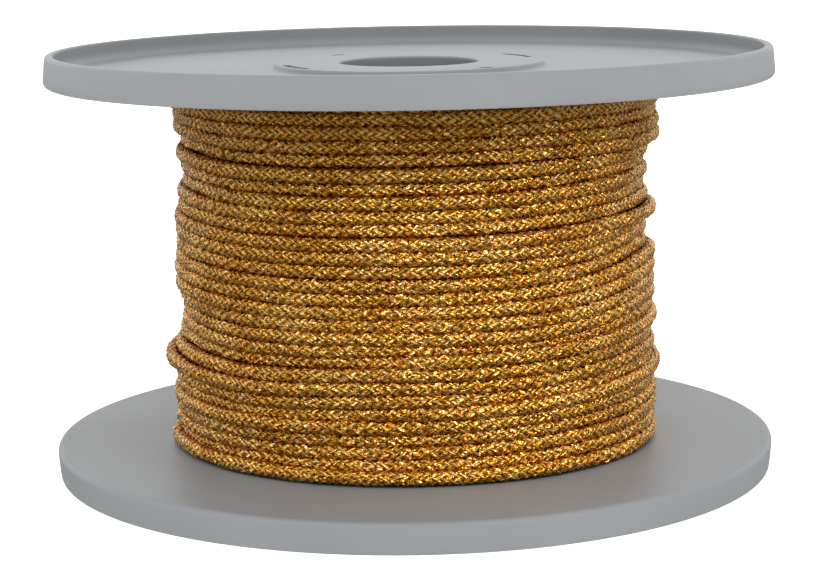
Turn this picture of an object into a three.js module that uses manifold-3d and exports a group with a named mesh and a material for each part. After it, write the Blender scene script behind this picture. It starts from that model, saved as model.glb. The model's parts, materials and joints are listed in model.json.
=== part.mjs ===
// A reel of round braided cord, standing on its lower flange. Millimetres, +Z up.
// The origin is on the reel's axis, at the level of the surface it stands on, and -Y is the front.

import * as THREE from "three";
import { mergeVertices } from "three/addons/utils/BufferGeometryUtils.js";
import Module from "manifold-3d";

const wasm = await Module();
wasm.setup();

// Driving dimensions of the reel
const REEL_HEIGHT = 75.5;
const FLANGE_RADIUS = 65;
const FLANGE_HEIGHT = 5.5;
const WEB_THICKNESS = 2;
const RIM_WALL = 1.5;
const RIM_DRAFT = 0.5; // how far the rim leans in from its wide edge to its lip
const EDGE_ROUND = 0.5;
const BORE_RADIUS = 12.4;
const BOSS_RADIUS = 23.9;
const BOSS_RISE = 0.9;
const BARREL_RADIUS = 25;
const BARREL_WALL = 3;
const COLLAR_WALL = 2.2;
const COLLAR_LENGTH = 6;
const FIT_GAP = 0.3; // between neighbouring pieces

// Driving dimensions of the cord and of its winding
const CORD_DIAMETER = 2.2;
const WINDING_RADIUS = 43.6;
const GROOVE_DEPTH = 0.375 * CORD_DIAMETER; // between the crests of two turns
const CREST_WIDTH = 0.56; // of a turn's share of the height
const PROUD = 0.22; // how far a turn stands out from its neighbours
const FREE_TURN = 4; // how many turns from a flange a turn strays as it likes

// Fineness of the round pieces
const STEPS_ROUND_FLANGE = 60;
const STEPS_ROUND_WINDING = 40;

// Windows in the boss, where the barrel's clips reach in. Angles are from +X, anticlockwise from above.
const CLIP_WINDOWS = [
  { angle: 27, length: 10 },
  { angle: 126, length: 2.6 },
  { angle: 207, length: 10 },
  { angle: 306, length: 2.6 },
];
const WINDOW_WIDTH = 1.3;
const WINDOW_EDGE = 0.7; // between a window and the boss's edge

// How a turn strays up and down on its way round: each wave has its height, how often it comes round,
// and how far it has moved on, in radians, from one turn to the next.
const STRAY_WAVES = [
  { height: 0.28, round: 2, shift: 1.1 },
  { height: 0.17, round: 3, shift: -0.7 },
];

// How far the winding stands beyond its mean radius, at each height and on each side
const WINDING_FORM = [
  { height: 5, left: 0.1, front: 0.2, right: 0.8, back: 0.3 },
  { height: 14, left: -0.1, front: 0.1, right: 1.5, back: 0.1 },
  { height: 21.5, left: 0.8, front: 0.4, right: 0.9, back: -0.2 },
  { height: 28, left: -1.3, front: -0.1, right: 0.6, back: 0.3 },
  { height: 33, left: -0.3, front: 0.3, right: 1.6, back: 0.1 },
  { height: 38, left: 0.1, front: 0.1, right: 0.9, back: -0.4 },
  { height: 42, left: -0.7, front: -0.3, right: -0.4, back: -0.2 },
  { height: 47, left: -0.3, front: 0, right: -0.5, back: 0.2 },
  { height: 52, left: -1.8, front: -0.3, right: -0.5, back: 0 },
  { height: 57, left: -1, front: 0, right: -0.7, back: -0.3 },
  { height: 60, left: -1.6, front: 0.2, right: 1.3, back: 0.2 },
  { height: 64, left: -0.7, front: 0.1, right: 1.4, back: 0.3 },
  { height: 71, left: -0.8, front: 0, right: 0.5, back: 0 },
];

// Worked out from the dimensions above
const windingLow = FLANGE_HEIGHT + FIT_GAP;
const windingHigh = REEL_HEIGHT - FLANGE_HEIGHT - FIT_GAP;
const windingInside = (BARREL_RADIUS + FIT_GAP) / Math.cos(Math.PI / STEPS_ROUND_WINDING);
const turns = Math.round((windingHigh - windingLow) / CORD_DIAMETER);
const pitch = (windingHigh - windingLow) / turns;

const greyPlastic = { color: 0x9da1a3, roughness: 0.42, metalness: 0 };
const goldCord = { color: 0x9a6a25, roughness: 0.4, metalness: 0.7 };

// A closed outline of [radius, height] corners, turned about +Z.
function turned(outline, steps) {
  const points = [...outline, outline[0]].map(([radius, height]) => new THREE.Vector2(radius, height));
  return new THREE.LatheGeometry(points, steps).rotateX(Math.PI / 2);
}

function toSolid(geometry) {
  const bare = geometry.clone();
  bare.deleteAttribute("normal");
  bare.deleteAttribute("uv");
  const merged = mergeVertices(bare);
  return new wasm.Manifold(
    new wasm.Mesh({
      numProp: 3,
      vertProperties: Float32Array.from(merged.attributes.position.array),
      triVerts: Uint32Array.from(merged.index.array),
    }),
  );
}

function toGeometry(solid) {
  const mesh = solid.getMesh();
  const geometry = new THREE.BufferGeometry();
  geometry.setAttribute("position", new THREE.BufferAttribute(mesh.vertProperties, 3));
  geometry.setIndex(new THREE.BufferAttribute(mesh.triVerts, 1));
  geometry.computeVertexNormals();
  return geometry;
}

// An arc-shaped block as wide as a window, tall enough to pass through the web and the boss.
function windowBlock({ angle, length }) {
  const outer = BOSS_RADIUS - WINDOW_EDGE;
  const inner = outer - WINDOW_WIDTH;
  const middle = THREE.MathUtils.degToRad(angle);
  const half = length / (outer + inner);
  const outline = new THREE.Shape();
  outline.absarc(0, 0, outer, middle - half, middle + half, false);
  outline.absarc(0, 0, inner, middle + half, middle - half, true);
  const block = new THREE.ExtrudeGeometry(outline, {
    depth: 2 * FLANGE_HEIGHT,
    bevelEnabled: false,
    curveSegments: 4,
  });
  return block.translate(0, 0, -FLANGE_HEIGHT / 2);
}

// The flange as it lies on top: its lip and its dish face up, and its flat face and its collar face down.
function flangeOutline() {
  const lip = FLANGE_RADIUS - RIM_DRAFT;
  const collarOutside = BARREL_RADIUS - BARREL_WALL - FIT_GAP;
  const collarInside = collarOutside - COLLAR_WALL;
  const bossFace = WEB_THICKNESS + BOSS_RISE;
  return [
    [BORE_RADIUS, 0],
    [collarInside, 0],
    [collarInside, -COLLAR_LENGTH],
    [collarOutside, -COLLAR_LENGTH],
    [collarOutside, 0],
    [FLANGE_RADIUS - EDGE_ROUND, 0],
    [FLANGE_RADIUS, EDGE_ROUND],
    [lip, FLANGE_HEIGHT - EDGE_ROUND],
    [lip - EDGE_ROUND, FLANGE_HEIGHT],
    [lip - RIM_WALL, FLANGE_HEIGHT],
    [lip - RIM_WALL - RIM_DRAFT / 2, WEB_THICKNESS],
    [BOSS_RADIUS + BOSS_RISE / 2, WEB_THICKNESS],
    [BOSS_RADIUS, bossFace],
    [BORE_RADIUS, bossFace],
  ];
}

function flangeGeometry() {
  let solid = toSolid(turned(flangeOutline(), STEPS_ROUND_FLANGE));
  for (const row of CLIP_WINDOWS) {
    solid = solid.subtract(toSolid(windowBlock(row)));
  }
  return toGeometry(solid);
}

function barrelGeometry() {
  const inside = BARREL_RADIUS - BARREL_WALL;
  const outline = [
    [inside, windingLow],
    [BARREL_RADIUS, windingLow],
    [BARREL_RADIUS, windingHigh],
    [inside, windingHigh],
  ];
  return turned(outline, STEPS_ROUND_FLANGE);
}

// The winding's unevenness at a height and an angle, from the rows just below and above that height.
function formAt(height, angle) {
  const found = WINDING_FORM.findLastIndex((row) => row.height <= height);
  const below = WINDING_FORM[THREE.MathUtils.clamp(found, 0, WINDING_FORM.length - 2)];
  const above = WINDING_FORM[WINDING_FORM.indexOf(below) + 1];
  const share = THREE.MathUtils.smoothstep(height, below.height, above.height);
  const across = Math.cos(angle);
  const along = Math.sin(angle);
  const side = across > 0 ? "right" : "left";
  const face = along > 0 ? "back" : "front";
  const blend = (column) => THREE.MathUtils.lerp(below[column], above[column], share);
  return blend(side) * across * across + blend(face) * along * along;
}

// Near the flanges a turn can't stray, so the waves fade out there.
function turnHeight(turn, angle) {
  const level = windingLow + (turn + 0.5) * pitch;
  const freedom = Math.min(1, turn / FREE_TURN, (turns - 1 - turn) / FREE_TURN);
  const waves = STRAY_WAVES.map((wave) => wave.height * Math.sin(wave.round * angle + wave.shift * turn));
  return level + freedom * waves.reduce((sum, wave) => sum + wave, 0);
}

function turnReach(turn, angle) {
  const proud = PROUD * Math.sin(2.3 * turn) * Math.sin(angle + turn);
  return WINDING_RADIUS + formAt(turnHeight(turn, angle), angle) + proud;
}

// The groove below a turn. The first and the last groove lie against the flanges.
function grooveAt(turn, angle) {
  const below = Math.max(turn - 1, 0);
  const above = Math.min(turn, turns - 1);
  const middle = (turnHeight(below, angle) + turnHeight(above, angle)) / 2;
  const edge = turn === 0 ? windingLow : windingHigh;
  return {
    radius: (turnReach(below, angle) + turnReach(above, angle)) / 2 - GROOVE_DEPTH,
    height: below === above ? edge : middle,
  };
}

// The outline at one angle: the inner corner, then a groove, a crest's two edges, a groove, and so on.
function windingOutline(angle) {
  const rows = [{ radius: windingInside, height: windingLow }, grooveAt(0, angle)];
  for (let turn = 0; turn < turns; turn += 1) {
    const radius = turnReach(turn, angle);
    const middle = turnHeight(turn, angle);
    const half = (CREST_WIDTH * pitch) / 2;
    rows.push({ radius, height: middle - half }, { radius, height: middle + half }, grooveAt(turn + 1, angle));
  }
  rows.push({ radius: windingInside, height: windingHigh }, rows[0]);
  return rows;
}

// A turned ring whose points are then set, angle by angle, to that angle's outline.
function windingGeometry() {
  const start = windingOutline(0).map((row) => new THREE.Vector2(row.radius, row.height));
  const geometry = new THREE.LatheGeometry(start, STEPS_ROUND_WINDING);
  geometry.rotateX(Math.PI / 2);
  const position = geometry.attributes.position;
  for (let step = 0; step <= STEPS_ROUND_WINDING; step += 1) {
    const angle = ((step % STEPS_ROUND_WINDING) / STEPS_ROUND_WINDING) * 2 * Math.PI - Math.PI / 2;
    windingOutline(angle).forEach((row, i) => {
      const x = row.radius * Math.cos(angle);
      const y = row.radius * Math.sin(angle);
      position.setXYZ(step * start.length + i, x, y, row.height);
    });
  }
  geometry.computeVertexNormals();
  return geometry;
}

function piece(name, geometry, finish) {
  const mesh = new THREE.Mesh(geometry, new THREE.MeshStandardMaterial(finish));
  mesh.name = name;
  return mesh;
}

function reel() {
  const lower = piece("lower_flange", flangeGeometry(), greyPlastic);
  lower.rotation.x = Math.PI;
  lower.position.z = FLANGE_HEIGHT;
  const upper = piece("upper_flange", flangeGeometry(), greyPlastic);
  upper.position.z = REEL_HEIGHT - FLANGE_HEIGHT;
  const group = new THREE.Group();
  group.add(lower, upper);
  group.add(piece("barrel", barrelGeometry(), greyPlastic));
  group.add(piece("cord_winding", windingGeometry(), goldCord));
  return group;
}

export default reel();
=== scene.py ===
# %% [markdown]
# A reel of round braided gold cord.
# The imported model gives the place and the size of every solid. This lesson dresses them: the grey
# plastic of the reel gets rounded edges and a moulded finish, and the winding gets every turn of its
# outer layer, plaited stitch by stitch. Lengths are in metres throughout.

# %% Load the frame
import json
import math

import bmesh
import bpy
import numpy as np
from mathutils import Matrix, Vector

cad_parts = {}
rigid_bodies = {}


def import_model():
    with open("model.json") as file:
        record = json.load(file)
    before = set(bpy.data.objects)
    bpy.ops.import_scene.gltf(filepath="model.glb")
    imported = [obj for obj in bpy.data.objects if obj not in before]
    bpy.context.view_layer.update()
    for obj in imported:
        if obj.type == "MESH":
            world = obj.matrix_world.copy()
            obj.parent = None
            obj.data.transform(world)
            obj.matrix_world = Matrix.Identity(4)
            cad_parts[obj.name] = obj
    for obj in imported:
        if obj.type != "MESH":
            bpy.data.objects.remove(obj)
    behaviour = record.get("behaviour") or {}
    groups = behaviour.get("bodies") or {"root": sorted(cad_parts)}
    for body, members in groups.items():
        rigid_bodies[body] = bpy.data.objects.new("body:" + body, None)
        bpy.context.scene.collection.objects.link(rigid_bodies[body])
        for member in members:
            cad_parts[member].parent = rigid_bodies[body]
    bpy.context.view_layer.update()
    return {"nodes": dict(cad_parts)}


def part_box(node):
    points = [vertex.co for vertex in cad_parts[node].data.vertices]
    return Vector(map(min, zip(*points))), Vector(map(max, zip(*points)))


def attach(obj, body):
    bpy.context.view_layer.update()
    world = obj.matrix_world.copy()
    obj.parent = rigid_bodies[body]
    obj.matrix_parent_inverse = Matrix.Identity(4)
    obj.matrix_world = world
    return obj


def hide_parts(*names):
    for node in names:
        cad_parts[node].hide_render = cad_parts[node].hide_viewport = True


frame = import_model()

MM = 0.001
scene = bpy.context.scene
print("nodes of the frame:", sorted(frame["nodes"]))

# %% [markdown]
# The big sizes come from the frame, so the looks can't drift from the solids. The small ones, such as
# the thickness of the web under the dish, repeat what the moulding was designed with.

# %% Sizes of the reel
lower_low, lower_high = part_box("lower_flange")
upper_low, upper_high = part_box("upper_flange")
barrel_low, barrel_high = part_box("barrel")

FLANGE_RADIUS = lower_high[0]
REEL_HEIGHT = upper_high[2]
BARREL_RADIUS = barrel_high[0]
WINDING_LOW, WINDING_HIGH = barrel_low[2], barrel_high[2]
FLANGE_HEIGHT = 5.5 * MM
WEB_THICKNESS = 2 * MM
RIM_WALL = 1.5 * MM
RIM_DRAFT = 0.5 * MM
BORE_RADIUS = 12.4 * MM
BOSS_RADIUS = 23.9 * MM
BOSS_RISE = 0.9 * MM
BARREL_WALL = 3 * MM
COLLAR_WALL = 2.2 * MM
COLLAR_LENGTH = 6 * MM
FIT_GAP = 0.3 * MM
print("flange radius and reel height in mm:", round(FLANGE_RADIUS / MM, 1), round(REEL_HEIGHT / MM, 1))

# %% [markdown]
# The camera stands in front of the reel and a little above it, and is turned by a hair, as the
# photographer held it. A long lens flattens the ellipses of the flanges. Its distance and height were
# found by fitting the ellipses of both flanges. It is set first, because every later choice is judged
# through it.

# %% Camera
LENS = 100.2
SENSOR_WIDTH = 36
CAMERA_DISTANCE = 6.408 * FLANGE_RADIUS
CAMERA_HEIGHT = 1.591 * FLANGE_RADIUS
CAMERA_PITCH = math.radians(9.84)
CAMERA_ROLL = math.radians(-0.92)
CAMERA_YAW = math.radians(-0.11)


def add_camera():
    data = bpy.data.cameras.new("camera")
    data.lens = LENS
    data.sensor_width = SENSOR_WIDTH
    camera = bpy.data.objects.new("camera", data)
    tilt = Matrix.Rotation(CAMERA_YAW, 4, "Z") @ Matrix.Rotation(math.pi / 2 - CAMERA_PITCH, 4, "X")
    tilt = tilt @ Matrix.Rotation(CAMERA_ROLL, 4, "Z")
    camera.matrix_world = Matrix.Translation((0, -CAMERA_DISTANCE, CAMERA_HEIGHT)) @ tilt
    scene.collection.objects.link(camera)
    scene.camera = camera


add_camera()
print("camera in front by mm:", round(CAMERA_DISTANCE / MM), "and up by mm:", round(CAMERA_HEIGHT / MM))

# %% [markdown]
# The maths of shaders and of Geometry Nodes reads best as plain expressions. So a small class wraps a
# socket and overloads the operators. Each expression on values adds its Math nodes, and 1 - mask works
# as 1 + mask does.

# %% Values that do maths
class Value:
    def __init__(self, nodes, socket):
        self.nodes = nodes
        self.socket = socket

    def _math(self, operation, *values):
        return self.nodes.node("ShaderNodeMath", {"operation": operation}, values)[0]

    def __add__(self, other):
        return self._math("ADD", self, other)

    def __radd__(self, other):
        return self._math("ADD", other, self)

    def __sub__(self, other):
        return self._math("SUBTRACT", self, other)

    def __rsub__(self, other):
        return self._math("SUBTRACT", other, self)

    def __mul__(self, other):
        return self._math("MULTIPLY", self, other)

    def __rmul__(self, other):
        return self._math("MULTIPLY", other, self)

    def __truediv__(self, other):
        return self._math("DIVIDE", self, other)

    def __rtruediv__(self, other):
        return self._math("DIVIDE", other, self)

    def __pow__(self, other):
        return self._math("POWER", self, other)

    def __rpow__(self, other):
        return self._math("POWER", other, self)

    def __abs__(self):
        return self._math("ABSOLUTE", self)

    def sine(self):
        return self._math("SINE", self)

    def cosine(self):
        return self._math("COSINE", self)

    def floor(self):
        return self._math("FLOOR", self)

    def fraction(self):
        return self._math("FRACT", self)

    def back_and_forth(self):
        """Goes from 0 to 1 and back to 0 while the value grows by 2."""
        return self._math("PINGPONG", self, 1.0)


# %% [markdown]
# Colours and vectors go through their own nodes. All of them are made by one method, which takes a
# node's type, its settings, and the values or links of its sockets. A material, the world and a
# Geometry Nodes tree share it.

# %% Node trees
class Nodes:
    """A node tree of any kind."""

    def __init__(self, tree):
        self.tree = tree

    def feed(self, socket, value):
        if isinstance(value, Value):
            self.tree.links.new(value.socket, socket)
        else:
            socket.default_value = value

    def node(self, kind, settings, sockets):
        """Adds a node, its sockets given in order or by name, and returns its outputs as values."""
        made = self.tree.nodes.new(kind)
        for name, setting in settings.items():
            if name == "stops":
                self._stops(made.color_ramp, setting)
            else:
                setattr(made, name, setting)
        named = sockets.items() if isinstance(sockets, dict) else enumerate(sockets)
        for key, value in named:
            self.feed(made.inputs[key], value)
        return [Value(self, output) for output in made.outputs]

    def _stops(self, ramp, stops):
        while len(ramp.elements) < len(stops):
            ramp.elements.new(1)
        for element, (place, colour) in zip(ramp.elements, stops):
            element.position = place
            element.color = (*colour, 1)

    def vector(self, operation, *parts):
        return self.node("ShaderNodeVectorMath", {"operation": operation}, parts)[0]

    def scaled(self, vector, scale):
        sockets = {0: vector, "Scale": scale}
        return self.node("ShaderNodeVectorMath", {"operation": "SCALE"}, sockets)[0]

    def dot(self, vector, other):
        return self.node("ShaderNodeVectorMath", {"operation": "DOT_PRODUCT"}, [vector, other])[1]

    def blend(self, value, start, end, low, high, course="SMOOTHSTEP"):
        """Goes from low to high while the value goes from start to end, softly unless told otherwise."""
        sockets = {"Value": value, "From Min": start, "From Max": end, "To Min": low, "To Max": high}
        return self.node("ShaderNodeMapRange", {"interpolation_type": course}, sockets)[0]


class Recipe(Nodes):
    """A material with one Principled shader."""

    def __init__(self, name, base_color, roughness, metallic=0.0):
        self.material = bpy.data.materials.new(name)
        self.material.use_nodes = True
        super().__init__(self.material.node_tree)
        self.shader = self.tree.nodes["Principled BSDF"]
        self.fix("Base Color", (*base_color, 1))
        self.fix("Roughness", roughness)
        self.fix("Metallic", metallic)

    def fix(self, name, value):
        self.shader.inputs[name].default_value = value

    def ramp(self, value, stops):
        return self.node("ShaderNodeValToRGB", {"stops": stops}, [value])[0]

    def bump(self, height, distance, strength=1.0, **more):
        sockets = {"Height": height, "Distance": distance, "Strength": strength, **more}
        return self.node("ShaderNodeBump", {}, sockets)[0]

    def own_place(self):
        """The place on the piece, in the object's own coordinates."""
        return self.node("ShaderNodeTexCoord", {}, {})[3]

    def out(self, **sockets):
        for name, value in sockets.items():
            self.feed(self.shader.inputs[name.replace("_", " ")], value)
        return self.material


# %% [markdown]
# Round parts of a reel are turned shapes. A corner of a moulded part is never sharp, because plastic
# shrinks in its mould and the mould itself has rounded corners. So an outline here is a list of
# corners, each with the reach of its rounding. The turned mesh could come from a Screw modifier. Points
# worked out in numpy give the same mesh, and the outline can then be rounded corner by corner.

# %% Turned shapes
ROUND_STEPS = 240
CORNER_STEPS = 6


def rounded(corners):
    """Replaces each (radius, height, reach) corner of a closed outline by a short curve."""
    points = []
    for i, (radius, height, reach) in enumerate(corners):
        corner = Vector((radius, height))
        if reach == 0:
            points.append(corner)
            continue
        before = Vector(corners[i - 1][:2]) - corner
        after = Vector(corners[(i + 1) % len(corners)][:2]) - corner
        start = corner + before.normalized() * reach
        end = corner + after.normalized() * reach
        for step in range(CORNER_STEPS + 1):
            t = step / CORNER_STEPS
            points.append((1 - t) ** 2 * start + 2 * t * (1 - t) * corner + t**2 * end)
    return points


def ring_faces(steps, count):
    """Quads over a ring of closed outlines, each of so many points, one outline for each step round."""
    step, place = np.divmod(np.arange(steps * count), count)
    across, along = (place + 1) % count, (step + 1) % steps
    corners = [step * count + place, along * count + place, along * count + across, step * count + across]
    return np.stack(corners, 1).tolist()


def mesh_object(name, vertices, faces):
    mesh = bpy.data.meshes.new(name)
    mesh.from_pydata(vertices, [], faces)
    mesh.update()
    made = bpy.data.objects.new(name, mesh)
    scene.collection.objects.link(made)
    return made


def turned(name, outline):
    """Turns a closed outline about +Z. The outline runs anticlockwise, with the radius to the right."""
    angles = np.arange(ROUND_STEPS) * 2 * np.pi / ROUND_STEPS
    radius, height = np.array(outline).T
    x = np.cos(angles)[:, None] * radius
    y = np.sin(angles)[:, None] * radius
    z = np.broadcast_to(height, x.shape)
    vertices = np.stack([x, y, z], 2).reshape(-1, 3)
    return mesh_object(name, vertices.tolist(), ring_faces(ROUND_STEPS, len(outline)))


def smooth(piece, crease=40):
    """Smooth shading, with creases kept where faces meet more sharply than the angle."""
    piece.data.shade_smooth()
    piece.data.set_sharp_from_angle(angle=math.radians(crease))
    print(piece.name, "has", len(piece.data.polygons), "faces")


# %% [markdown]
# A flange is a dished disc: a flat face against the winding, a rim that stands proud on the far side, a
# web, a raised boss and a bore for a spindle. A collar on the flat face locates the barrel. The wide
# edge beside the winding is well rounded, because the cord slides over it as it is drawn off. Each
# piece could also be bevelled by a modifier, but then one width would have to suit every corner.

# %% Outline of a flange
SMALL_ROUNDING = 0.3 * MM
COLLAR_FOOT_ROUNDING = 0.2 * MM
COLLAR_END_ROUNDING = 0.5 * MM
WIDE_EDGE_ROUNDING = 1.3 * MM
LIP_ROUNDING = 0.7 * MM
INNER_LIP_ROUNDING = 0.4 * MM
DISH_ROUNDING = 1.8 * MM
BOSS_ROUNDING = 0.35 * MM
BORE_ROUNDING = 0.5 * MM


def flange_outline():
    lip = FLANGE_RADIUS - RIM_DRAFT
    collar_outside = BARREL_RADIUS - BARREL_WALL - FIT_GAP
    collar_inside = collar_outside - COLLAR_WALL
    boss_face = WEB_THICKNESS + BOSS_RISE
    return rounded([
        (BORE_RADIUS, 0, SMALL_ROUNDING),
        (collar_inside, 0, COLLAR_FOOT_ROUNDING),
        (collar_inside, -COLLAR_LENGTH, SMALL_ROUNDING),
        (collar_outside, -COLLAR_LENGTH, COLLAR_END_ROUNDING),
        (collar_outside, 0, 0),
        (FLANGE_RADIUS, 0, WIDE_EDGE_ROUNDING),
        (lip, FLANGE_HEIGHT, LIP_ROUNDING),
        (lip - RIM_WALL, FLANGE_HEIGHT, INNER_LIP_ROUNDING),
        (lip - RIM_WALL - RIM_DRAFT / 2, WEB_THICKNESS, DISH_ROUNDING),
        (BOSS_RADIUS + BOSS_RISE / 2, WEB_THICKNESS, SMALL_ROUNDING),
        (BOSS_RADIUS, boss_face, BOSS_ROUNDING),
        (BORE_RADIUS, boss_face, BORE_ROUNDING),
    ])


# %% [markdown]
# The barrel's clips reach in through small windows beside the boss. The windows are cut by one Boolean,
# from arc-shaped blocks, because they break two turned faces at once. Two long windows and two short
# ones alternate.

# %% Clip windows
WINDOW_WIDTH = 1.3 * MM
WINDOW_EDGE = 0.7 * MM
WINDOW_POINTS = 9
CLIP_WINDOWS = [
    {"angle": 27, "length": 10 * MM},
    {"angle": 126, "length": 2.6 * MM},
    {"angle": 207, "length": 10 * MM},
    {"angle": 306, "length": 2.6 * MM},
]


def window_cutter():
    mesh = bmesh.new()
    outer = BOSS_RADIUS - WINDOW_EDGE
    inner = outer - WINDOW_WIDTH
    for row in CLIP_WINDOWS:
        half = row["length"] / (outer + inner)
        angles = np.linspace(-half, half, WINDOW_POINTS) + math.radians(row["angle"])
        edge = [(outer * math.cos(a), outer * math.sin(a)) for a in angles]
        edge += [(inner * math.cos(a), inner * math.sin(a)) for a in angles[::-1]]
        low = [mesh.verts.new((x, y, -FLANGE_HEIGHT / 2)) for x, y in edge]
        face = mesh.faces.new(low)
        raised = bmesh.ops.extrude_face_region(mesh, geom=[face])["geom"]
        top = [v for v in raised if isinstance(v, bmesh.types.BMVert)]
        bmesh.ops.translate(mesh, verts=top, vec=(0, 0, 2 * FLANGE_HEIGHT))
    bmesh.ops.recalc_face_normals(mesh, faces=mesh.faces)
    data = bpy.data.meshes.new("window_cutter")
    mesh.to_mesh(data)
    mesh.free()
    cutter = bpy.data.objects.new("window_cutter", data)
    scene.collection.objects.link(cutter)
    return cutter


# %% [markdown]
# Both flanges are the same moulding. The outline is drawn as the upper one lies, and the lower one is
# turned over. The Boolean is read off as a plain mesh, so that no modifier is left on the piece.

# %% Flanges
FLANGE_CREASE = 32


def evaluated_mesh(made):
    graph = bpy.context.evaluated_depsgraph_get()
    graph.update()
    return bpy.data.meshes.new_from_object(made.evaluated_get(graph))


def flange(name, place):
    made = turned(name, flange_outline())
    cutter = window_cutter()
    cut = made.modifiers.new("windows", "BOOLEAN")
    cut.object = cutter
    cut.solver = "EXACT"
    mesh = evaluated_mesh(made)
    made.modifiers.clear()
    made.data = mesh
    mesh.name = name
    bpy.data.objects.remove(cutter)
    mesh.transform(place)
    smooth(made, FLANGE_CREASE)
    return made


upper_place = Matrix.Translation((0, 0, REEL_HEIGHT - FLANGE_HEIGHT))
lower_place = Matrix.Translation((0, 0, FLANGE_HEIGHT)) @ Matrix.Rotation(math.pi, 4, "X")
upper_flange = flange("upper_flange_moulding", upper_place)
lower_flange = flange("lower_flange_moulding", lower_place)

# %% [markdown]
# The barrel is a plain tube between the flanges. It shows only down the bore, where a faceted tube
# would give itself away, so it is turned again with more steps.

# %% Barrel
BARREL_ROUNDING = 0.2 * MM
barrel_inside = BARREL_RADIUS - BARREL_WALL
barrel = turned("barrel_tube", rounded([
    (barrel_inside, WINDING_LOW, BARREL_ROUNDING),
    (BARREL_RADIUS, WINDING_LOW, BARREL_ROUNDING),
    (BARREL_RADIUS, WINDING_HIGH, BARREL_ROUNDING),
    (barrel_inside, WINDING_HIGH, BARREL_ROUNDING),
]))
smooth(barrel)

# %% [markdown]
# A wound reel is never a true cylinder. What lies beneath the outer layer bulges and dips, and the
# outer turns follow it. The table gives, at a few heights and on four sides, how many millimetres the
# winding stands beyond its mean radius. The solid of the winding follows the same table.

# %% The winding's form
WINDING_RADIUS = 43.5 * MM
WINDING_FORM = [
    {"height": 5, "left": 0.1, "front": 0.2, "right": 0.8, "back": 0.3},
    {"height": 14, "left": -0.1, "front": 0.1, "right": 1.5, "back": 0.1},
    {"height": 21.5, "left": 0.8, "front": 0.4, "right": 0.9, "back": -0.2},
    {"height": 28, "left": -1.3, "front": -0.1, "right": 0.6, "back": 0.3},
    {"height": 33, "left": -0.3, "front": 0.3, "right": 1.6, "back": 0.1},
    {"height": 38, "left": 0.1, "front": 0.1, "right": 0.9, "back": -0.4},
    {"height": 42, "left": -0.7, "front": -0.3, "right": -0.4, "back": -0.2},
    {"height": 47, "left": -0.3, "front": 0, "right": -0.5, "back": 0.2},
    {"height": 52, "left": -1.8, "front": -0.3, "right": -0.5, "back": 0},
    {"height": 57, "left": -1, "front": 0, "right": -0.7, "back": -0.3},
    {"height": 60, "left": -1.6, "front": 0.2, "right": 1.3, "back": 0.2},
    {"height": 64, "left": -0.7, "front": 0.1, "right": 1.4, "back": 0.3},
    {"height": 71, "left": -0.8, "front": 0, "right": 0.5, "back": 0},
]


def form_at(height, angle):
    """How far the winding stands beyond its mean radius, at arrays of heights and angles."""
    heights = [row["height"] * MM for row in WINDING_FORM]
    side = {name: np.interp(height, heights, [row[name] * MM for row in WINDING_FORM])
            for name in ("left", "front", "right", "back")}
    across, along = np.cos(angle), np.sin(angle)
    reach = np.where(across > 0, side["right"], side["left"]) * across**2
    return reach + np.where(along > 0, side["back"], side["front"]) * along**2


# %% [markdown]
# The cord is wound under light tension by a guide that doesn't lay it evenly. A turn crowds the one
# below it in a few places only, and loosens a little elsewhere. The noise for this runs along the cord
# from turn to turn. Its mean over all turns is taken off at every angle, so that the winding still
# fills the space between the flanges.

# %% How the turns stray
TURNS = 29
STATIONS = 144  # points on each turn
WINDING_SEED = 11
KNOT_STATIONS = 30  # points between two knots of the noise
CROWDING = 1.3 * MM
FREEDOM = 0.9 * MM
LOOSENESS = 0.08 * MM


def smooth_noise(count, spread, random):
    """Noise along the cord that changes over about a fifth of a turn."""
    knots = np.arange(0, count + KNOT_STATIONS, KNOT_STATIONS)
    places = np.arange(count) / KNOT_STATIONS
    low = np.floor(places).astype(int)
    share = places - low
    share = share * share * (3 - 2 * share)
    values = random.normal(0, spread, len(knots) + 1)
    return values[low] * (1 - share) + values[low + 1] * share


def strays(count, random):
    """How far each turn lies above or below its even place, without a wide gap anywhere."""
    extra = np.minimum(smooth_noise(count, CROWDING, random) + FREEDOM, 0)
    extra += smooth_noise(count, LOOSENESS, random)
    whole = np.concatenate([extra[:-1], np.zeros(-(count - 1) % STATIONS)]).reshape(-1, STATIONS)
    whole = whole - whole.mean(axis=0)
    stray = np.concatenate([np.zeros((1, STATIONS)), np.cumsum(whole, axis=0)])
    return stray.ravel()[:count]


# %% [markdown]
# A turn slides into any groove that it finds, and where turns crowd, one is pushed out. A helix with
# added noise would cut through itself, so the turns are settled instead, in many small rounds. In each
# round a turn goes some of the way back to where the guide laid it, tension pulls it in, and turns that
# overlap push each other apart. The cord is a little thicker here than a turn's share of the height,
# and turns may keep a little less than its width between them, since the braid is soft. So they press on
# each other, and no wide gap opens.

# %% Rules of the settling
CORD_DIAMETER = 2.45 * MM
LEVEL_TURNS = 0.75
SETTLING_ROUNDS = 500
CONTACT = 0.9  # of the cord's width
RETURN = 0.2  # of the way back, in each round
TENSION = 0.02 * MM  # inwards, in each round
EVENING = 0.3  # of the way to the mean of both neighbours along the cord
YIELD = 0.7  # of an overlap, in each round
NO_DISTANCE = 1e-6


def evened(values):
    inner = (values[:-2] + values[2:]) / 2
    values[1:-1] += EVENING * (inner - values[1:-1])


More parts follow.
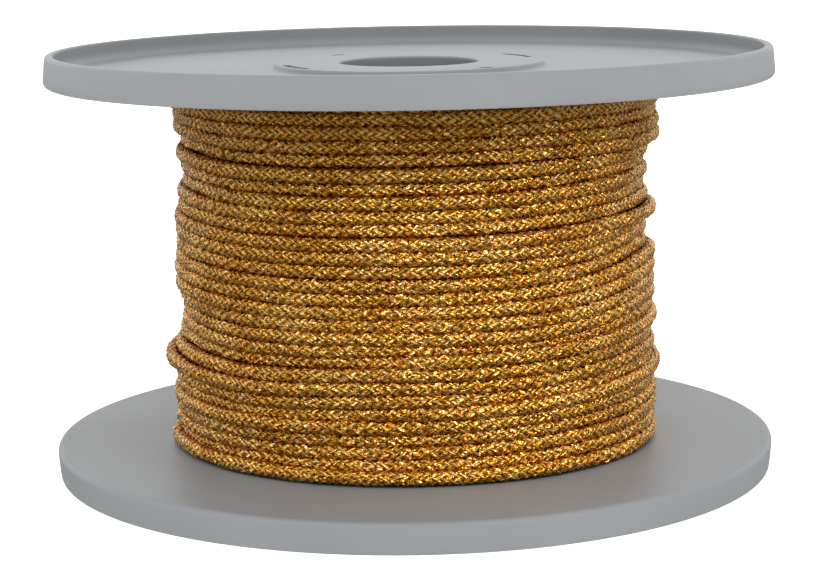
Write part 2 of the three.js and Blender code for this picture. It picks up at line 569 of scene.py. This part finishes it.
def push_apart(height, radius, offset):
    """Moves each pair of points, one a whole number of turns above the other, until they are clear."""
    up = height[offset:] - height[:-offset]
    out = radius[offset:] - radius[:-offset]
    distance = np.maximum(np.hypot(up, out), NO_DISTANCE)
    push = np.maximum(CONTACT * CORD_DIAMETER - distance, 0) / distance / 2
    move = np.stack([up * push, out * push])
    shift = np.zeros((2, len(height)))
    shift[:, offset:] += move
    shift[:, :-offset] -= move
    height += YIELD * shift[0]
    radius += YIELD * shift[1]


# %% [markdown]
# The line starts as an even helix with strays. Its first and its last three quarters of a turn run
# level along the flanges. A floor beneath it follows the winding's form, with some unevenness of each
# turn's own, so a turn that nothing holds up comes to rest there. At last the two ends of the line are
# tucked in behind the reel.

# %% Settling the turns
LAID_UNEVENLY = 0.3 * MM
UNEVENNESS = 0.55 * MM
DEEPEST_DIP, HIGHEST_BUMP = -0.6 * MM, 1.3 * MM
SINKING = 0.5 * MM
TUCKED_TURN = 0.12
TUCK_DEPTH = 2.4 * MM


def settled_turns():
    """Heights and radii of the cord's centre line, station by station, with the angle at each."""
    random = np.random.default_rng(WINDING_SEED)
    count = TURNS * STATIONS + 1
    turn = np.arange(count) / STATIONS
    angle = 2 * np.pi * turn + np.pi / 2
    half = CORD_DIAMETER / 2
    low, high = WINDING_LOW + half, WINDING_HIGH - half
    even = low + (high - low) * np.clip((turn - LEVEL_TURNS) / (TURNS - 2 * LEVEL_TURNS), 0, 1)
    wish = np.clip(even + strays(count, random), low, high)
    height = wish.copy()
    radius = WINDING_RADIUS - half + smooth_noise(count, LAID_UNEVENLY, random)
    rest = np.clip(smooth_noise(count, UNEVENNESS, random), DEEPEST_DIP, HIGHEST_BUMP)
    for _ in range(SETTLING_ROUNDS):
        height += RETURN * (wish - height)
        radius -= TENSION
        evened(height)
        evened(radius)
        push_apart(height, radius, STATIONS)
        push_apart(height, radius, 2 * STATIONS)
        floor = WINDING_RADIUS - half - SINKING + rest + form_at(height, angle)
        radius = np.maximum(radius, floor)
        height = np.clip(height, low, high)
    tuck = np.clip(1 - np.minimum(turn, TURNS - turn) / TUCKED_TURN, 0, 1)
    radius -= TUCK_DEPTH * tuck**2
    return height, radius, angle


cord_height, cord_radius, cord_angle = settled_turns()
cord_line = np.stack([cord_radius * np.cos(cord_angle), cord_radius * np.sin(cord_angle), cord_height], 1)
steps = np.linalg.norm(np.diff(cord_line, axis=0), axis=1)
cord_length = steps.sum()
print("cord in the outer layer in m:", round(cord_length, 2))

# %% [markdown]
# The braid is a round plait: ten columns of slanted stitches, slanting one way and the other by turns,
# so two neighbours make a chevron. It follows a path and repeats thousands of times, which is work for
# Geometry Nodes. A tree gets a few methods of its own: sizes that the modifier can set by name, and
# numbers kept on the points.

# %% Geometry Nodes helper
NUMBER, DIRECTION = "FLOAT", "FLOAT_VECTOR"


class Tree(Nodes):
    """A Geometry Nodes tree with named inputs."""

    def __init__(self, name):
        super().__init__(bpy.data.node_groups.new(name, "GeometryNodeTree"))
        for way in ("INPUT", "OUTPUT"):
            self.tree.interface.new_socket("Geometry", in_out=way, socket_type="NodeSocketGeometry")
        self.ids = {}
        self.start = self.tree.nodes.new("NodeGroupInput")
        self.end = self.tree.nodes.new("NodeGroupOutput")

    def given(self, name):
        return Value(self, self.start.outputs[name])

    def size(self, name, kind="NodeSocketFloat"):
        made = self.tree.interface.new_socket(name, in_out="INPUT", socket_type=kind)
        self.ids[name] = made.identifier
        return self.given(name)

    def keep(self, geometry, name, value, kind=NUMBER):
        """Keeps a number or a direction on each point, under a name."""
        settings = {"data_type": kind, "domain": "POINT"}
        sockets = {"Geometry": geometry, "Name": name, "Value": value}
        return self.node("GeometryNodeStoreNamedAttribute", settings, sockets)[0]

    def kept(self, name, kind=NUMBER):
        return self.node("GeometryNodeInputNamedAttribute", {"data_type": kind}, {"Name": name})[0]

    def read(self, what):
        """Each point's index, position or tangent."""
        return self.node("GeometryNodeInput" + what, {}, {})[0]

    def slow_noise(self, place):
        return self.node("ShaderNodeTexNoise", {"noise_dimensions": "1D"}, {"W": place, "Detail": 0.0})[0]


# %% [markdown]
# First the tree sweeps a ring of twenty points along the cord's line, with a row for each half stitch.
# The plait turns slowly about its own line as it runs, and that turning wanders. Each point keeps its
# row, its side, the cord's direction and its centre there, because the next steps need them and a swept
# mesh has forgotten them.

# %% Sweeping the cord
BRAID_COLUMNS = 10
SIDES = 2 * BRAID_COLUMNS
WANDER = 5.0
WANDER_PACE = 0.012  # of the noise, for each row


def swept_cord(t, cord_size, twist, first):
    row = t.read("Index") + first
    normals = t.node("GeometryNodeSetCurveNormal", {"mode": "Z_UP"}, {"Curve": t.given("Geometry")})[0]
    tilt = row * twist + t.slow_noise(row * WANDER_PACE) * WANDER
    line = t.node("GeometryNodeSetCurveTilt", {}, {"Curve": normals, "Tilt": tilt})[0]
    line = t.keep(line, "row", row)
    line = t.keep(line, "way", t.read("Tangent"), DIRECTION)
    line = t.keep(line, "centre", t.read("Position"), DIRECTION)
    ring_sizes = {"Resolution": SIDES, "Radius": cord_size}
    ring = t.node("GeometryNodeCurvePrimitiveCircle", {"mode": "RADIUS"}, ring_sizes)[0]
    ring = t.keep(ring, "side", t.read("Index"))
    sweep = {"Curve": line, "Profile Curve": ring, "Fill Caps": True}
    return t.node("GeometryNodeCurveToMesh", {}, sweep)[0]


# %% [markdown]
# In each column the points on one edge slide further along the cord than those on the other, which
# slants the stitches. Points are then pulled in or out: the middle of a stitch stands out, and the
# corners where four stitches meet lie deepest. Each point also strays a little, because yarn is uneven.

# %% Stitches
CORNER_DEPTH = 0.75
ROW_RISE = 0.5
SIDE_RISE = 0.25
MIDDLE_RISE = 0.75
YARN_STRAY = 0.3
STRAY_SEED = 5


def stitch_move(t, spoke, stitch, slant, relief):
    """How each point moves, from the centre's spoke to it and the sizes of a stitch."""
    row = t.kept("row")
    side = t.kept("side")
    slide = (side / 2.0).back_and_forth() * slant * stitch
    mid_row = (row + (side / 2.0).floor()).back_and_forth()
    mid_side = side.back_and_forth()
    rise = mid_row * (mid_side * MIDDLE_RISE + ROW_RISE) - CORNER_DEPTH + mid_side * SIDE_RISE
    along = t.scaled(t.kept("way", DIRECTION), slide)
    out = t.scaled(t.vector("NORMALIZE", spoke), rise * relief)
    limits = {0: (-1.0, -1.0, -1.0), 1: (1.0, 1.0, 1.0), "Seed": STRAY_SEED}
    chance = t.node("FunctionNodeRandomValue", {"data_type": DIRECTION}, limits)[0]
    return t.vector("ADD", t.vector("ADD", along, out), t.scaled(chance, relief * YARN_STRAY))


# %% [markdown]
# Where turns press on each other, the round section is squared off a little, and everywhere it is
# pressed a little flat against the layer beneath. How much the turns press is a slow noise along the
# cord here. The attribute facing keeps how far a point looks away from the reel's axis, for the painted
# shade in the grooves between turns.

# %% Pressing
PRESS_PACE = 0.02  # of the noise, for each row
PRESS_FROM, PRESS_TO = 0.35, 0.65
ROUND_POWER = 2.1
EXTRA_POWER = 1.2
FLATTENING = 0.06
OPENING = 0.3  # a pressed turn is wider, so more of it looks outwards


def pressed_move(t, spoke, cord_size):
    """How each point moves, and how far it faces outwards."""
    outward = t.vector("NORMALIZE", t.vector("MULTIPLY", t.kept("centre", DIRECTION), (1.0, 1.0, 0.0)))
    depth = t.dot(spoke, outward) / cord_size
    height = t.dot(spoke, (0.0, 0.0, 1.0)) / cord_size
    crowding = t.slow_noise(t.kept("row") * PRESS_PACE)
    pressing = t.blend(crowding, PRESS_FROM, PRESS_TO, 0.0, 1.0, "LINEAR")
    power = pressing * EXTRA_POWER + ROUND_POWER
    square = abs(depth) ** power + abs(height) ** power
    swell = square ** (-1.0 / power) - 1.0
    flat = t.scaled(outward, depth * cord_size * -FLATTENING)
    return t.vector("ADD", t.scaled(spoke, swell), flat), depth + pressing * OPENING


# %% [markdown]
# The tree puts these steps together: it sweeps the cord, marks how each point faces, moves the points
# and gives the cord its material. Realize Instances makes sure that real faces come out, because an
# export drops instances.

# %% The whole tree
def braid_tree():
    t = Tree("braid")
    cord_size = t.size("Cord radius")
    stitch = t.size("Stitch length")
    slant = t.size("Slant in stitches")
    relief = t.size("Relief")
    twist = t.size("Twist per row")
    first = t.size("First row", "NodeSocketInt")
    finish = t.size("Material", "NodeSocketMaterial")
    swept = swept_cord(t, cord_size, twist, first)
    spoke = t.vector("SUBTRACT", t.read("Position"), t.kept("centre", DIRECTION))
    stitched = stitch_move(t, spoke, stitch, slant, relief)
    pressed, facing = pressed_move(t, spoke, cord_size)
    # facing feeds the painted shade in the grooves of the gold yarn's colour.
    marked = t.keep(swept, "facing", facing)
    move = {"Geometry": marked, "Offset": t.vector("ADD", stitched, pressed)}
    placed = t.node("GeometryNodeSetPosition", {}, move)[0]
    real = t.node("GeometryNodeRealizeInstances", {}, {"Geometry": placed})[0]
    done = t.node("GeometryNodeSetMaterial", {}, {"Geometry": real, "Material": finish})[0]
    t.feed(t.end.inputs["Geometry"], done)
    print("the braid's tree has", len(t.tree.nodes), "nodes")
    return t


braid = braid_tree()

# %% [markdown]
# The line is cut into rows of half a stitch, and into six lengths, so that no piece is too heavy.
# Neighbouring lengths meet in one shared row and are closed there by a flat end. The joint is finer
# than a stitch, so it doesn't show. The swept ring is a hair smaller than the cord, and the stitches
# rise above it and dip below it.

# %% Braiding a length of cord
LENGTHS = 6
STITCH_LENGTH = 1.45 * MM
ROW_LENGTH = STITCH_LENGTH / 2
STITCH_SLANT = 0.6
RELIEF = 0.17 * MM
TWIST_PER_STITCH = math.radians(1.6)
RING_SHARE = 0.49  # of the cord's diameter


def cord_rows():
    """Points along the cord, half a stitch apart."""
    travelled = np.concatenate([[0], np.cumsum(steps)])
    count = int(cord_length / ROW_LENGTH)
    marks = np.linspace(0, cord_length, count + 1)
    return np.stack([np.interp(marks, travelled, cord_line[:, i]) for i in range(3)], 1)


def braided(name, points, first, finish):
    curve = bpy.data.curves.new(name, "CURVE")
    curve.dimensions = "3D"
    line = curve.splines.new("POLY")
    line.points.add(len(points) - 1)
    line.points.foreach_set("co", np.column_stack([points, np.ones(len(points))]).ravel())
    made = bpy.data.objects.new(name + "_line", curve)
    scene.collection.objects.link(made)
    nodes = made.modifiers.new("braid", "NODES")
    nodes.node_group = braid.tree
    sizes = {
        "Cord radius": RING_SHARE * CORD_DIAMETER,
        "Stitch length": STITCH_LENGTH,
        "Slant in stitches": STITCH_SLANT,
        "Relief": RELIEF,
        "Twist per row": TWIST_PER_STITCH / 2,
        "First row": first,
        "Material": finish,
    }
    for label, value in sizes.items():
        nodes[braid.ids[label]] = value
    mesh = evaluated_mesh(made)
    mesh.name = name
    bpy.data.objects.remove(made)
    piece = bpy.data.objects.new(name, mesh)
    scene.collection.objects.link(piece)
    return piece


# %% [markdown]
# A swept cord needs maps of its own. One counts columns and stitches, for the pattern of the yarn. The
# other is for baking: it cuts the long cord into strips and stacks them in a square, with a small
# margin between strips. The two ends of a length are small circles in the first strip's margin. The
# sweep's vertices come row by row, so a vertex's number gives its row and its side.

# %% The cord's maps
STRIP_MARGIN = 0.04
CAP_SPOT = 0.015
CAP_PLACES = 0.25, 0.75


def corner_numbers(mesh):
    """Each face corner's row and side, its face's last side and first row, and if the face is a cap."""
    vertex = np.empty(len(mesh.loops), int)
    mesh.loops.foreach_get("vertex_index", vertex)
    row, side = np.divmod(vertex, SIDES)
    face_start = np.empty(len(mesh.polygons), int)
    face_size = np.empty(len(mesh.polygons), int)
    mesh.polygons.foreach_get("loop_start", face_start)
    mesh.polygons.foreach_get("loop_total", face_size)
    last_side = np.repeat(np.maximum.reduceat(side, face_start), face_size)
    first_row = np.repeat(np.minimum.reduceat(row, face_start), face_size)
    cap = np.repeat(face_size, face_size) > 4
    return row, side, last_side, first_row, cap


def add_maps(piece, rows):
    mesh = piece.data
    row, side, last_side, first_row, cap = corner_numbers(mesh)
    closing = (last_side == SIDES - 1) & (side == 0) & ~cap
    side = np.where(closing, SIDES, side).astype(float)
    pattern = np.column_stack([side / 2, row / 2])
    girth = math.pi * CORD_DIAMETER
    strips = max(1, round(math.sqrt(rows * ROW_LENGTH / girth)))
    per_strip = math.ceil(rows / strips)
    strip = first_row // per_strip
    u = (row - strip * per_strip) / per_strip
    v = (strip + STRIP_MARGIN + (1 - 2 * STRIP_MARGIN) * side / SIDES) / strips
    spin = 2 * math.pi * side / SIDES
    u = np.where(cap, np.where(row == 0, *CAP_PLACES) + CAP_SPOT / strips * np.cos(spin), u)
    v = np.where(cap, (STRIP_MARGIN / 2 + CAP_SPOT * np.sin(spin)) / strips, v)
    folded = np.column_stack([np.clip(u, 0, 1), v])
    for name, places in (("braid", pattern), ("OFBake", folded)):
        layer = mesh.uv_layers.new(name=name)
        layer.uv.foreach_set("vector", places.astype(np.float32).ravel())


# %% [markdown]
# The gold yarn is flat metallised film, so it shines like metal and not like cloth. Each stitch holds a
# few strips that lie side by side and twist a little, and each short stretch of strip mirrors another
# part of the room. That is why the real cord sparkles. The pattern counts columns and stitches on the
# cord's own map, with the edges of the columns interlocking, and numbers every strip and stretch of
# film.

# %% Pattern of the yarn
FILM_STRIPS = 5
FILM_STRETCHES = 7
TUCK = 0.2


def stitch_pattern(r):
    """Two places that count columns and stitches, with the place in a stitch after the decimal point."""
    uv = r.node("ShaderNodeUVMap", {"uv_map": "braid"}, {})[0]
    u, v, _ = r.node("ShaderNodeSeparateXYZ", {}, [uv])
    wave = (v * (2 * math.pi)).cosine() * (u * math.pi).cosine()
    u = u - wave * TUCK
    return u, v + (u.floor() * 0.5).fraction()


def chance(r, x, y, z=0.0):
    """A random number and a random colour for each place that x, y and z number."""
    mark = r.node("ShaderNodeCombineXYZ", {}, [x, y, z])[0]
    return r.node("ShaderNodeTexWhiteNoise", {}, [mark])[:2]


# %% [markdown]
# Each small stretch tilts the shading normal by its own random amount, each stitch leans a little as a
# whole, and colour and gloss vary. A strand is palest on its crown and darker at its edges: painted shade
# where the strands meet. The flanks of a turn, down in the grooves between turns, are painted darker than
# its open side: painted shade where the turns shade each other. The darker tones of the gold are a deep
# orange.

# %% Gold yarn
FILM_MARK = 7.0  # keeps the stretches' chances apart from the stitches'
FILM_TILT = 1.0
STITCH_LEAN = 0.15
FILM_RELIEF = 0.18 * MM
PATCH_SCALE = 120.0
CROWN_TAPER = 0.3
CROWN_PAINTED_SHADE, FILM_TONE, PATCH_TONE = 0.7, 0.4, 0.4
GROOVE_PAINTED_SHADE = -0.24
GROOVE_SHADE_END = 0.8
LOWEST_TONE = -0.5
SHINIEST, DULLING = 0.2, 0.2
GOLD_TONES = [
    (0.0, (0.20, 0.042, 0.001)),
    (0.3, (0.40, 0.15, 0.005)),
    (0.6, (0.65, 0.39, 0.08)),
    (1.0, (0.90, 0.78, 0.50)),
]


def crown_height(u, v):
    """How high a place of a stitch stands: 1 on its crown, 0 on its long edges."""
    across = (v.fraction() * math.pi).sine()
    along = (u.fraction() * math.pi).sine() ** 0.5
    return across * (along * CROWN_TAPER + (1 - CROWN_TAPER))


def off_centre(r, colour, share):
    return r.scaled(r.vector("SUBTRACT", colour, (0.5, 0.5, 0.5)), share)


def gold_yarn():
    r = Recipe("gold_yarn", (0.6, 0.35, 0.09), 0.3, 1.0)
    u, v = stitch_pattern(r)
    strip = (v * FILM_STRIPS).floor()
    offset = r.node("ShaderNodeTexWhiteNoise", {"noise_dimensions": "1D"}, {"W": strip})[0]
    stretch = (u * FILM_STRETCHES + offset).floor()
    stitch_colour = chance(r, u.floor(), v.floor())[1]
    film_chance, film_colour = chance(r, stretch, strip, FILM_MARK)
    patch_sockets = {"Vector": r.own_place(), "Scale": PATCH_SCALE, "Detail": 2.0}
    patch = r.node("ShaderNodeTexNoise", {}, patch_sockets)[0]
    facing = r.node("ShaderNodeAttribute", {"attribute_name": "facing"}, {})[2]
    # Painted shade: the yarn's colour darkens towards the grooves between turns, by the attribute facing.
    painted_groove_shade = r.blend(facing, 0.0, GROOVE_SHADE_END, GROOVE_PAINTED_SHADE, 0.0)
    crown = crown_height(u, v)
    # Painted shade: the crown term makes each strand palest on its crown and darker at its edges, where
    # strands meet.
    tone = crown * CROWN_PAINTED_SHADE + film_chance * FILM_TONE + patch * PATCH_TONE + LOWEST_TONE + painted_groove_shade
    normal = r.node("ShaderNodeNewGeometry", {}, {})[1]
    tilted = r.vector("ADD", normal, off_centre(r, film_colour, FILM_TILT))
    tilted = r.vector("ADD", tilted, off_centre(r, stitch_colour, STITCH_LEAN))
    bumped = r.bump(crown, FILM_RELIEF, Normal=r.vector("NORMALIZE", tilted))
    dulled = film_chance * DULLING + SHINIEST
    return r.out(Base_Color=r.ramp(tone, GOLD_TONES), Roughness=dulled, Normal=bumped)


# %% [markdown]
# Now the six lengths can be plaited and mapped. Each one starts and ends on an even row, so that the
# pattern of stitches runs on from one to the next.

# %% The six lengths of cord
gold = gold_yarn()
rows = cord_rows()
row_count = (len(rows) - 1) // 2 * 2
cuts = [round(row_count * i / LENGTHS / 2) * 2 for i in range(LENGTHS + 1)]
cords = []
for number, (begin, stop) in enumerate(zip(cuts[:-1], cuts[1:]), 1):
    piece = braided(f"braided_cord_{number}", rows[begin:stop + 1], begin, gold)
    add_maps(piece, stop - begin)
    piece.data.shade_smooth()
    cords.append(piece)
    print(piece.name, "has", len(piece.data.polygons), "faces")

# %% [markdown]
# Between the turns one sees the layers beneath, in shadow. They are a closed ring a little inside the
# outer layer, ribbed like cord. It is far cheaper than winding thousands more stitches that nobody
# sees.

# %% Layers beneath
UNDER_DEPTH = 2.4 * MM
UNDER_RIB = 0.35 * MM
UNDER_STEPS = 160
UNDER_ROWS = 6 * TURNS


def under_layers():
    heights = np.linspace(WINDING_LOW, WINDING_HIGH, UNDER_ROWS + 1)
    angles = np.arange(UNDER_STEPS) * 2 * np.pi / UNDER_STEPS
    height, angle = np.meshgrid(heights, angles)
    rib = np.abs(np.sin((height - WINDING_LOW) / CORD_DIAMETER * np.pi + angle / 2)) * UNDER_RIB
    radius = WINDING_RADIUS - UNDER_DEPTH + form_at(height, angle) + rib
    outer = np.stack([radius * np.cos(angle), radius * np.sin(angle), height], 2)
    inside = BARREL_RADIUS + FIT_GAP
    top_and_bottom = height[:, [-1, 0]]
    two = angle[:, :2]
    inner = np.stack([inside * np.cos(two), inside * np.sin(two), top_and_bottom], 2)
    ring = np.concatenate([outer, inner], 1)
    faces = ring_faces(UNDER_STEPS, ring.shape[1])
    made = mesh_object("under_layers", ring.reshape(-1, 3).tolist(), faces)
    smooth(made)
    return made


# %% [markdown]
# Deep between the turns the yarn lies in shade, and its dark maroon is painted shade: the same gold yarn,
# coloured as it looks there. It is matt, because a metal there would mirror the pale plastic and look
# like dust.

# %% Yarn in shadow
THREAD_SCALE = 2500.0
THREAD_RELIEF = 0.2 * MM
SHADOW_TONES = [(0.3, (0.012, 0.002, 0.001)), (0.7, (0.06, 0.012, 0.004))]


def painted_shade_gold():
    r = Recipe("gold_yarn_beneath", (0.03, 0.006, 0.002), 0.9)
    r.fix("Specular IOR Level", 0.1)
    thread_sockets = {"Vector": r.own_place(), "Scale": THREAD_SCALE, "Detail": 3.0}
    thread = r.node("ShaderNodeTexNoise", {}, thread_sockets)[0]
    return r.out(Base_Color=r.ramp(thread, SHADOW_TONES), Normal=r.bump(thread, THREAD_RELIEF))


beneath = under_layers()
beneath.data.materials.append(painted_shade_gold())

# %% [markdown]
# The reel is grey injection-moulded plastic. Its satin face is not quite even: the mould was blasted,
# so the surface has a fine grain, and handling has polished it in places. Pigment is mixed in, so the
# colour drifts only a little. The grain is bump, the polish is roughness, and both read the object's
# own coordinates.

# %% Grey plastic
CLOUD_SCALE = 45.0
GRAIN_SCALE = 2200.0
GRAIN_RELIEF = 0.02 * MM
GRAIN_STRENGTH = 0.5
POLISHED, UNPOLISHING = 0.36, 0.16
GREY_TONES = [(0.3, (0.214, 0.226, 0.237)), (0.7, (0.232, 0.243, 0.252))]


def grey_plastic():
    r = Recipe("grey_plastic", (0.22, 0.23, 0.24), 0.45)
    place = r.own_place()
    cloud = r.node("ShaderNodeTexNoise", {}, {"Vector": place, "Scale": CLOUD_SCALE, "Detail": 3.0})[0]
    grain = r.node("ShaderNodeTexNoise", {}, {"Vector": place, "Scale": GRAIN_SCALE, "Detail": 2.0})[0]
    bumped = r.bump(grain, GRAIN_RELIEF, GRAIN_STRENGTH)
    satin = cloud * UNPOLISHING + POLISHED
    return r.out(Base_Color=r.ramp(cloud, GREY_TONES), Roughness=satin, Normal=bumped)


plastic = grey_plastic()
for piece in (upper_flange, lower_flange, barrel):
    piece.data.materials.clear()
    piece.data.materials.append(plastic)
print("materials:", sorted(material.name for material in bpy.data.materials))

# %% [markdown]
# The stage is a plain pale floor that runs to the horizon. It glows a little, so it stays as white as
# the photo's. Shiny surfaces see a darker floor, which gives the turns of the cord their shaded
# undersides.

# %% Floor
FLOOR_HALF = 6.0
FLOOR_GLOW = 0.75
FLOOR_SEEN, FLOOR_MIRRORED = (0.93, 0.93, 0.93), (0.35, 0.35, 0.35)
WHITE, BLACK = (1, 1, 1), (0, 0, 0)


def add_floor():
    corners = [(-FLOOR_HALF, -FLOOR_HALF, 0), (FLOOR_HALF, -FLOOR_HALF, 0),
               (FLOOR_HALF, FLOOR_HALF, 0), (-FLOOR_HALF, FLOOR_HALF, 0)]
    floor = mesh_object("floor", corners, [(0, 1, 2, 3)])
    r = Recipe("pale_floor", FLOOR_SEEN, 0.8)
    mirrored = r.node("ShaderNodeLightPath", {}, {})[3]
    r.fix("Emission Strength", FLOOR_GLOW)
    r.out(Base_Color=r.ramp(mirrored, [(0.0, FLOOR_SEEN), (1.0, FLOOR_MIRRORED)]),
          Emission_Color=r.ramp(mirrored, [(0.0, WHITE), (1.0, BLACK)]))
    floor.data.materials.append(r.material)


add_floor()

# %% [markdown]
# The room is white, and a camera ray sees just that. Matt surfaces are lit mostly from high in front.
# Shiny ones see a room that is bright behind the reel, overhead and at the sides, and dimmer in front,
# where the photographer stands. Each line of four numbers says between which two values of a direction
# the light changes, and how strong it is at the first and at the second.

# %% Room
MATT_HEIGHT = 0.3, 0.8, 0.42, 1.9
MATT_ZENITH = 0.8, 1.0, 0.0, 0.8
MATT_FRONT = -0.6, 0.3, 1.45, 0.5
MATT_LEFT = -1.0, 0.0, 0.65, 1.0
SHINY_BACK = -0.2, 0.9, 0.64, 1.0
SHINY_OVERHEAD = -0.1, 0.6, 0.0, 0.5
SHINY_LEFT = -0.9, -0.1, 0.45, 0.0
SHINY_RIGHT = 0.3, 0.9, 0.0, 0.4
MATT_COLOUR = (0.985, 0.995, 1)
SEEN_WHITE = 1.05


def add_world():
    world = bpy.data.worlds.new("white_room")
    world.use_nodes = True
    scene.world = world
    sky = Nodes(world.node_tree)
    sky.tree.nodes.clear()
    camera_ray, _, diffuse_ray = sky.node("ShaderNodeLightPath", {}, {})[:3]
    way = sky.node("ShaderNodeTexCoord", {}, {})[0]
    x, y, z = sky.node("ShaderNodeSeparateXYZ", {}, [way])
    matt = sky.blend(z, *MATT_HEIGHT) - sky.blend(z, *MATT_ZENITH)
    matt = matt * sky.blend(y, *MATT_FRONT) * sky.blend(x, *MATT_LEFT)
    shiny = sky.blend(y, *SHINY_BACK) + sky.blend(z, *SHINY_OVERHEAD)
    shiny = shiny + sky.blend(x, *SHINY_LEFT) + sky.blend(x, *SHINY_RIGHT)

    def light(colour, strength):
        return sky.node("ShaderNodeBackground", {}, {"Color": (*colour, 1), "Strength": strength})[0]

    by_ray = [diffuse_ray, light(WHITE, shiny), light(MATT_COLOUR, matt)]
    lit = sky.node("ShaderNodeMixShader", {}, by_ray)[0]
    seen = sky.node("ShaderNodeMixShader", {}, [camera_ray, lit, light(WHITE, SEEN_WHITE)])[0]
    sky.node("ShaderNodeOutputWorld", {}, {"Surface": seen})


add_world()

# %% [markdown]
# Two weak lamps light only matt surfaces. Three small ones, the strongest on the right, light only the
# cord, whose film sparkles wherever a stretch of it happens to lie right. Light linking keeps them off
# the plastic, which would shine too much. The Standard view keeps the colours as they were mixed.

# %% Lamps
LAMPS = [
    {"name": "left_lamp", "place": (-0.32, -0.28, 0.17), "size": 0.2, "watts": 0.05, "glints": False},
    {"name": "right_lamp", "place": (0.32, -0.28, 0.07), "size": 0.2, "watts": 0.05, "glints": False},
    {"name": "left_glint", "place": (-0.78, -0.60, 0.45), "size": 0.4, "watts": 0.2, "glints": True},
    {"name": "middle_glint", "place": (-0.06, -0.98, 0.60), "size": 0.4, "watts": 3.2, "glints": True},
    {"name": "right_glint", "place": (0.74, -0.66, 0.45), "size": 0.4, "watts": 6.3, "glints": True},
]
sparkling = bpy.data.collections.new("sparkling")
for piece in cords:
    sparkling.objects.link(piece)


def add_lamp(name, place, size, watts, glints):
    data = bpy.data.lights.new(name, "AREA")
    data.size = size
    data.energy = watts
    lamp = bpy.data.objects.new(name, data)
    lamp.location = place
    aim = Vector((0, 0, REEL_HEIGHT / 2)) - lamp.location
    lamp.rotation_euler = aim.to_track_quat("-Z", "Y").to_euler()
    lamp.visible_diffuse = not glints
    lamp.visible_glossy = glints
    if glints:
        lamp.light_linking.receiver_collection = sparkling
    scene.collection.objects.link(lamp)


for row in LAMPS:
    add_lamp(**row)
scene.view_settings.view_transform = "Standard"
print("lamps:", [row["name"] for row in LAMPS])

# %% [markdown]
# Each piece rides on the reel's one body, and the solids that the pieces stand for are hidden.

# %% Join the pieces to the frame
for piece, node in ((upper_flange, "upper_flange"), (lower_flange, "lower_flange"), (barrel, "barrel")):
    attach(piece, "root")
    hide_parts(node)
for piece in (*cords, beneath):
    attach(piece, "root")
    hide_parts("cord_winding")
